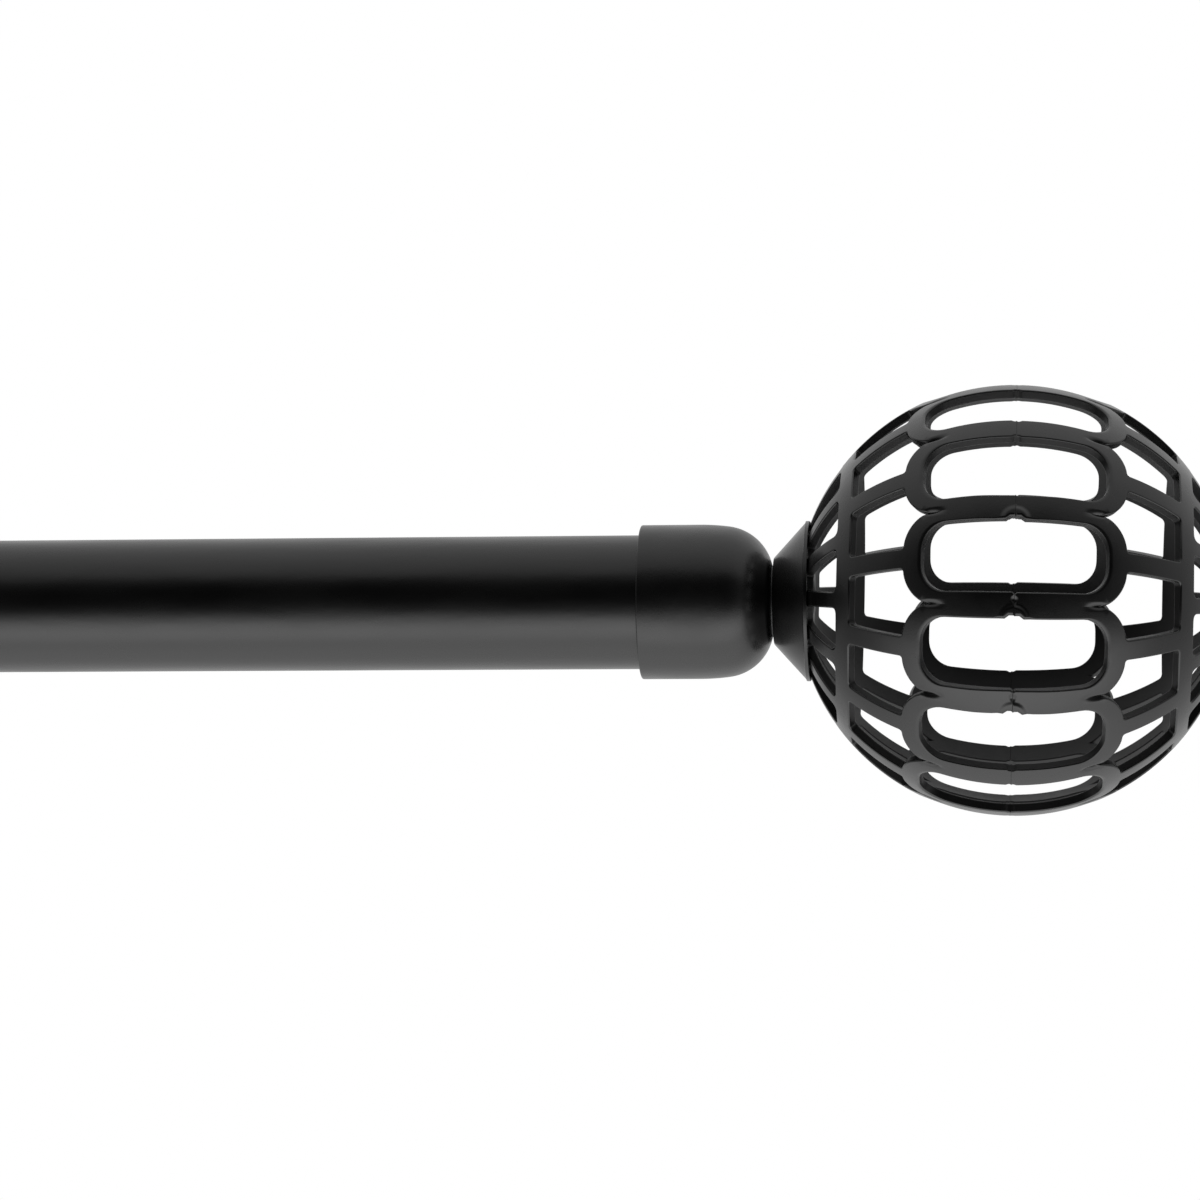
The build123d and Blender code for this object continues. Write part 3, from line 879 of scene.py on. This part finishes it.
def add_pole(cell, edge):
    """The closed disc round the pole, with a hub inside and a hole through it."""
    inside_r = BALL_R - WALL
    face = BALL_R - HUB_DEPTH
    outside = [(BALL_R * sin(a), BALL_R * cos(a)) for a in np.linspace(CAP_LAT, radians(85.3), 5)]
    hole_top = sqrt(BALL_R**2 - HUB_HOLE**2)
    profile = outside + [(hole_top, HUB_HOLE + 0.15), (hole_top - 0.15, HUB_HOLE)]
    profile += [(face + 0.2, HUB_HOLE), (face, HUB_HOLE + 0.2), (face, HUB_R - 0.25), (face + 0.25, HUB_R)]
    hub_foot = atan2(sqrt(inside_r**2 - HUB_R**2), HUB_R)
    profile += [(inside_r * sin(a), inside_r * cos(a)) for a in np.linspace(hub_foot, CAP_LAT, 3)]
    turns = np.linspace(edge, 0, 5)
    rows = []
    profile = np.array(profile)
    for i, (x, r) in enumerate(profile):
        before, after = profile[max(i - 1, 0)], profile[min(i + 1, len(profile) - 1)]
        along = after - before
        normal = np.array([-along[1], along[0]]) / np.linalg.norm(along)
        normal = -normal if i == 0 or np.dot(normal, (1, 0)) < 0 and i < len(outside) else normal
        normal = np.array([x, r]) / BALL_R if i < len(outside) else normal
        points = np.stack([np.full(5, x), r * np.cos(turns), r * np.sin(turns)], 1)
        normals = np.stack([np.full(5, normal[0]), normal[1] * np.cos(turns), normal[1] * np.sin(turns)], 1)
        # the hub and the inside of the pole disc take the shaded copy of the black: painted shade
        rows.append(cell.add(points, normals, i >= len(outside), i >= len(outside)))
    cell.strip(rows)


def ball_half(name, half, side, body, node, cells):
    """All the cells of one half of a ball; `half` is 1 for the half away from the rod."""
    points, normals, hard, matt, faces = [], [], [], [], []
    for k in range(CELLS):
        middle = WEB_TURN + (k + 0.5) * PITCH - (HALF_SLIP if half > 0 else 0)
        out = np.array([0, -cos(middle), sin(middle)])
        around = np.array([0, sin(middle), cos(middle)])
        above = "socket" if (k + 1) % CELLS in UPPER_NOTCHES else "slight"
        for mirror, notch in ((1, above), (-1, UPPER_NOTCHES.get(k, "slight"))):
            cell = cells[notch, half]
            axes = np.array([(half, 0, 0), out, mirror * around])
            start = sum(len(p) for p in points)
            points.append(cell.points @ axes)
            normals.append(cell.normals @ axes)
            hard += cell.hard
            matt += cell.matt
            turned = np.linalg.det(axes) < 0
            for f in cell.faces:
                f = tuple(start + i for i in f)
                faces.append(f[::-1] if turned else f)
    points, back, first = weld(np.concatenate(points))
    normals, hard, matt = np.concatenate(normals)[first], np.array(hard)[first], np.array(matt)[first]
    faces = [tuple(back[i] for i in f) for f in faces]
    faces = [f for f in (tuple(dict.fromkeys(f)) for f in faces) if len(f) > 2]
    corners = []
    for f in faces:
        flat = np.cross(points[f[1]] - points[f[0]], points[f[2]] - points[f[0]])
        flat /= max(np.linalg.norm(flat), 1e-12)
        corners += [tuple(flat if hard[i] else normals[i]) for i in f]
    placed = seated(points, side)
    corners = np.array(corners) @ SEAT_TURN * (side, side, 1)
    piece = mesh_piece(name, placed, faces, body, "finial_black", node, corners)
    # faces whose points are all flagged get the shaded copy of the black: painted shade in the walls and
    # inside the ball
    piece.data.materials.append(shaded_wall_black)
    piece.data.polygons.foreach_set("material_index", [int(all(matt[i] for i in f)) for f in faces])


def seam_pins(name, side, body, node):
    """Locating pins across the seam, in the middle of every second web."""
    half, radius, chamfer = 4, 0.45, 0.12
    ends = [(half, 0), (half, radius - chamfer), (half - chamfer, radius)]
    pin, pin_faces = lathe([(-x, r) for x, r in ends] + ends[::-1], 24)
    depth = WALL / 2 + 0.15             # a little below the wall's middle, clear of the sunk webs
    points, faces = [], []
    for turn in WEB_TURN + PITCH * np.arange(0, CELLS, 2):
        faces += [tuple(len(pin) * len(points) + i for i in f) for f in pin_faces]
        points.append(pin + (BALL_R - depth) * np.array([0, -cos(turn), sin(turn)]))
    piece = mesh_piece(name, seated(np.concatenate(points), side), faces, body, "finial_black", node)
    # the pins sit in the wall and take the shaded copy of the black: painted shade
    piece.data.materials[0] = shaded_wall_black


def finished_cell(notch, half):
    """Half a cell with its faces turned outwards and its lists made arrays."""
    cell = half_cell(notch, half)
    points = cell.points = np.array(cell.points)
    normals = cell.normals = unit(np.array(cell.normals))
    faces = []
    for f in cell.faces:
        a, b, c = (points[i] for i in f[:3])
        facing = np.cross(b - a, c - a)
        if len(f) == 4:
            facing = facing + np.cross(c - a, points[f[3]] - a)
        faces.append(f if np.dot(facing, sum(normals[i] for i in f)) > 0 else f[::-1])
    cell.faces = faces
    return cell


# ---- brackets ----
def box_outline(width, height, radius):
    x, z = width / 2, height / 2
    return rounded([(x, -z, radius), (x, z, radius), (-x, z, radius), (-x, -z, radius)])


def along_y(side, start, end):
    """Places a shape drawn in the XY plane across Y between two distances from the wall."""
    middle = Matrix.Translation((side * BRACKET_X, -(start + end) / 2, 0))
    return middle @ Matrix.Rotation(pi / 2, 4, "X")


def wall_plate(side, name):
    """Pressed plate with rounded corners and two screw holes."""
    size = plate_high - plate_low
    holes = [circle(2.5, 48, 0, h)[::-1] for h in (30, -30)]
    even_shading(cut_plate(f"{name}_plate", [box_outline(size.x, size.z, 6), *holes], size.y, 0.45,
                           along_y(side, 0, size.y), "wall_brackets", f"{name}_wall_plate"))


def arm_sleeve(side, name):
    low, high = span(f"{name}_arm_sleeve")
    size = high - low
    outlines = [box_outline(size.x, size.z, 1.2), box_outline(size.x - 3, size.z - 3, 0.4)[::-1]]
    even_shading(cut_plate(f"{name}_sleeve", outlines, size.y, 0.3, along_y(side, -high.y, -low.y),
                           "wall_brackets", f"{name}_arm_sleeve"))


def arm_bar(side, name):
    low, high = span(f"{name}_arm_bar")
    front = -AXIS_Y - TUBE_R - 1.2
    outline = box_outline(high.x - low.x, high.z - low.z, 0.9)
    even_shading(cut_plate(f"{name}_arm", [outline], front + high.y, 0.4, along_y(side, -high.y, front),
                           f"{name}_arm", f"{name}_arm_bar"))


def cradle(side, name):
    """U with rounded edges, a boss blended into its front prong, and the screw's hole."""
    low, high = span(f"{name}_cradle")
    inner = TUBE_R + 0.2
    outer = inner + 2.5
    top = high.z
    outline = rounded([(-inner, top, 0.9), (-outer, top, 0.9), (-outer, 0.01)])[1:]
    outline += [(-outer * cos(a), -outer * sin(a)) for a in np.linspace(0, pi, 41)[1:-1]]
    outline += rounded([(outer, 0.01), (outer, top, 0.9), (inner, top, 0.9), (inner, 0.0)], closed=False)
    outline += [(inner * cos(a), -inner * sin(a)) for a in np.linspace(0, pi, 37)[1:-1]]
    outline += [(-inner, 0.0)]
    upright = Matrix(((0, 0, 1, side * BRACKET_X), (1, 0, 0, AXIS_Y), (0, 1, 0, 0), (0, 0, 0, 1)))
    piece = cut_plate(f"{name}_cradle_u", [outline], high.x - low.x, 0.5, upright, f"{name}_arm",
                      f"{name}_cradle")
    prong = AXIS_Y - outer
    length = prong - low.y
    boss = [(-1.2, 0), (-1.2, 5.9), (0.05, 5.9), (0.9, 5.1, 0.7), (length, 5.0, 0.6), (length, 0)]
    hole = [(-6, 0), (-6, 2.5), (length - 0.5, 2.5), (length + 0.2, 3.2)]
    hole += [(length + 1, 3.2), (length + 1, 0)]
    for shape, segments, operation in ((boss, 72, "UNION"), (hole, 48, "DIFFERENCE")):
        points, faces = lathe(shape, segments)
        combine(piece, pointing_out(points, side, prong), faces, operation)
    even_shading(piece)


def thumb_screw(side, name):
    """Knurled knob with a turned face on a threaded shank."""
    low, high = span(f"{name}_thumb_screw")
    length = high.y - low.y
    knob_length, knob_r, knurls = 6.5, 5.98, 30
    shank = length - knob_length
    points, faces = turned_grid(*thread(0, shank + 1, 2.44, 0.42, 0.8, 36))
    rows = [(shank, 0), (shank, 3.4), (shank + 0.1, 3.8), (shank + 0.3, 5.0), (shank + 0.9, knob_r)]
    body = np.linspace(shank + 1.1, length - 1.1, 6)
    rows += [(x, knob_r) for x in body]
    rows += [(length - 0.9, knob_r), (length - 0.25, 5.2), (length, 4.7), (length, 4.2)]
    rows += [(length - 0.35, 3.8), (length - 0.45, 2.0), (length - 0.45, 0)]

    def knob_radius(i, angle):
        x, r = rows[i]
        if r < 5.1:
            return r
        groove = abs((angle * knurls / (2 * pi)) % 1 - 0.5) * 2
        return r - 0.45 * max(0.0, groove - 0.45) / 0.55

    more, more_faces = turned_grid([r[0] for r in rows], knurls * 6, knob_radius)
    offset = len(points)
    points = points + more
    faces = faces + [tuple(offset + i for i in f) for f in more_faces]
    placed = pointing_out(points, side, high.y)
    mesh_piece(f"{name}_thumb_knob", placed, faces, f"{name}_screw", "screw_black", f"{name}_thumb_screw")


def screw_tip(side, name):
    low, high = span(f"{name}_thumb_screw_tip")
    length = high.y - low.y
    outline = [(0, 0), (0, 1.99, 0.35), (1.5, 1.99, 0.2), (1.5, 1.0), (length, 1.0), (length, 0)]
    turned_piece(f"{name}_tip", outline, lambda p: pointing_out(p, side, high.y), f"{name}_screw_tip",
                 "clear_nylon", f"{name}_thumb_screw_tip", 48)


def lock_screw(side, name):
    """Slotted pan head screw hanging under the sleeve."""
    low, high = span(f"{name}_lock_screw")
    middle_y = (low.y + high.y) / 2
    height = high.z - low.z
    head = 2.8
    outline = [(0, 0), (0, 2.6, 0.8), (0.5, 3.45, 0.6), (1.6, 3.7, 0.4), (head, 3.68, 0.25), (head, 1.9)]
    outline += [(height, 1.9, 0.3), (height, 0)]
    middle = np.array((side * BRACKET_X, middle_y, low.z))
    piece = turned_piece(f"{name}_pan_screw", outline, lambda p: middle + p[:, [1, 2, 0]], "wall_brackets",
                         "screw_black", f"{name}_lock_screw", 60)
    half_width, half_length, depth = 0.55, 5.0, 1.2
    slot = [middle + (a, b, c) for a in (-half_width, half_width) for b in (-half_length, half_length)
            for c in (-1, depth)]
    sides = [(0, 1, 3, 2), (4, 6, 7, 5), (0, 4, 5, 1), (2, 3, 7, 6), (0, 2, 6, 4), (1, 5, 7, 3)]
    combine(piece, slot, sides, "DIFFERENCE")
    even_shading(piece)


# ---- the whole object ----
tube("outer_tube_skin", "outer_tube", 0.8, "outer_rod")
tube("inner_tube_skin", "inner_tube", 0.7, "inner_rod")
mouth_ring()
cells = {(notch, half): finished_cell(notch, half) for notch in NOTCHES for half in (-1, 1)}
for name, side in SIDES:
    rod = "outer_rod" if side > 0 else "inner_rod"
    finial = f"{name}_finial"
    end_cap(f"{name}_cap", side, rod, f"{name}_end_cap")
    washer(f"{name}_neck_washer", side, f"{name}_washer", f"{name}_finial_washer")
    neck_cup(f"{name}_cup", side, finial, f"{name}_neck_cup")
    finial_stud(f"{name}_threaded_stud", side, finial, f"{name}_finial_stud")
    for hub in ("inner", "outer"):
        hub_insert(f"{name}_{hub}_brass", side, finial, f"{name}_{hub}_hub_insert")
    pole_button(f"{name}_button", side, finial, f"{name}_pole_button")
    ball_half(f"{name}_cage_inner", -1, side, finial, f"{name}_ball_inner_half", cells)
    ball_half(f"{name}_cage_outer", 1, side, finial, f"{name}_ball_outer_half", cells)
    seam_pins(f"{name}_cage_pins", side, finial, f"{name}_seam_pins")
    wall_plate(side, name)
    arm_sleeve(side, name)
    arm_bar(side, name)
    cradle(side, name)
    thumb_screw(side, name)
    screw_tip(side, name)
    lock_screw(side, name)

for part in frame["record"]["subparts"]:
    node = frame["nodes"][part["node"]]
    node.data.materials.clear()
    node.data.materials.append(MATERIALS[part["material_slot"]])


# ---- floor, light and camera ----
def floor():
    """Pale disc well below the object. Only the camera sees it, so the world lights from below."""
    radius, level, count = 30.0, -5.0, 96
    mesh = bpy.data.meshes.new("floor")
    mesh.from_pydata([(x, y, level) for x, y in circle(radius, count)], [], [tuple(range(count))])
    disc = new_object("floor", mesh)
    material, tree, shader, place = new_material("pale_floor")
    tree.fill(shader, {
        "Base Color": tree.ramp(tree.noise(place, 3), (0.80, 0.80, 0.80), (0.84, 0.84, 0.83)),
        "Roughness": 0.8, "Emission Color": (1, 1, 1, 1), "Emission Strength": 0.35,
    })
    mesh.materials.append(material)
    disc.visible_glossy = disc.visible_diffuse = disc.visible_shadow = False


# Light from round the rod: degrees up from the room side, and how bright the studio is there.
# A dark band stands behind the camera, a soft box over the object and a brighter one under it.
STUDIO = (
    (-180, 0.70), (-160, 0.75), (-134, 1.0), (-112, 1.25), (-90, 1.75), (-68, 1.9), (-57, 2.5),
    (-45, 2.7), (-33, 2.1), (-22, 0.93), (-12, 0.14), (0, 0.03), (5, 0.01), (30, 0.02), (41, 0.12),
    (53, 0.58), (65, 0.76), (90, 0.95), (108, 0.92), (128, 0.9), (180, 0.72),
)
BRIGHTEST = 2.8
SIDE_LIGHT = (0.30, 0.50)           # beyond the left and the right end


def studio_world():
    """White to look at; its light runs round the rod's axis as STUDIO says."""
    world = bpy.data.worlds.new("studio")
    bpy.context.scene.world = world
    world.use_nodes = True
    world.node_tree.nodes.clear()
    tree = Shading(world.node_tree)
    split = tree.add("SeparateXYZ", {"Vector": tree.add("TexCoord").outputs["Generated"]}).outputs
    angle = tree.math("ARCTAN2", split["Z"], tree.math("MULTIPLY", split["Y"], -1.0))
    tones = tree.add("ValToRGB", {"Fac": tree.math("MULTIPLY_ADD", angle, 1 / (2 * pi), 0.5)})
    while len(tones.color_ramp.elements) < len(STUDIO):
        tones.color_ramp.elements.new(0.5)
    for element, (degrees, tone) in zip(tones.color_ramp.elements, STUDIO):
        element.position = degrees / 360 + 0.5
        element.color = (*[tone / BRIGHTEST] * 3, 1)
    sideways = tree.math("POWER", tree.math("ABSOLUTE", split["X"]), 4.0)
    left, right = (tone / BRIGHTEST for tone in SIDE_LIGHT)
    beside = tree.math("MULTIPLY_ADD", split["X"], (right - left) / 2, (right + left) / 2)
    ends = {"Factor": sideways, "A": tones.outputs["Color"], "B": beside}
    blend = tree.add("Mix", ends, data_type="RGBA")
    light = tree.add("Background", {"Color": blend.outputs["Result"], "Strength": BRIGHTEST})
    seen = tree.add("Background", {"Color": (1, 1, 1, 1), "Strength": 1.0})
    by_camera = tree.add("LightPath").outputs["Is Camera Ray"]
    mix = tree.add("MixShader", {"Fac": by_camera, 1: light.outputs[0], 2: seen.outputs[0]})
    tree.add("OutputWorld", {"Surface": mix.outputs["Shader"]})


def photo_camera():
    """In front of the ball by the room side, turned a little along the rod."""
    camera = new_object("camera", bpy.data.cameras.new("camera"))
    camera.data.lens = 116.8
    camera.data.sensor_width = 36
    camera.data.clip_start = 0.01
    camera.location = Vector((FACE_X + BALL_OUT - 3.157, AXIS_Y - 736.0, 0)) * MM
    yaw, lift, roll = radians(5.815), radians(0.0365), radians(-0.378)
    look = Matrix.Rotation(yaw, 4, "Z") @ Matrix.Rotation(pi / 2 + lift, 4, "X")
    camera.rotation_euler = (look @ Matrix.Rotation(roll, 4, "Z")).to_euler()
    bpy.context.scene.camera = camera


floor()
studio_world()
photo_camera()
bpy.context.scene.view_settings.view_transform = "Standard"
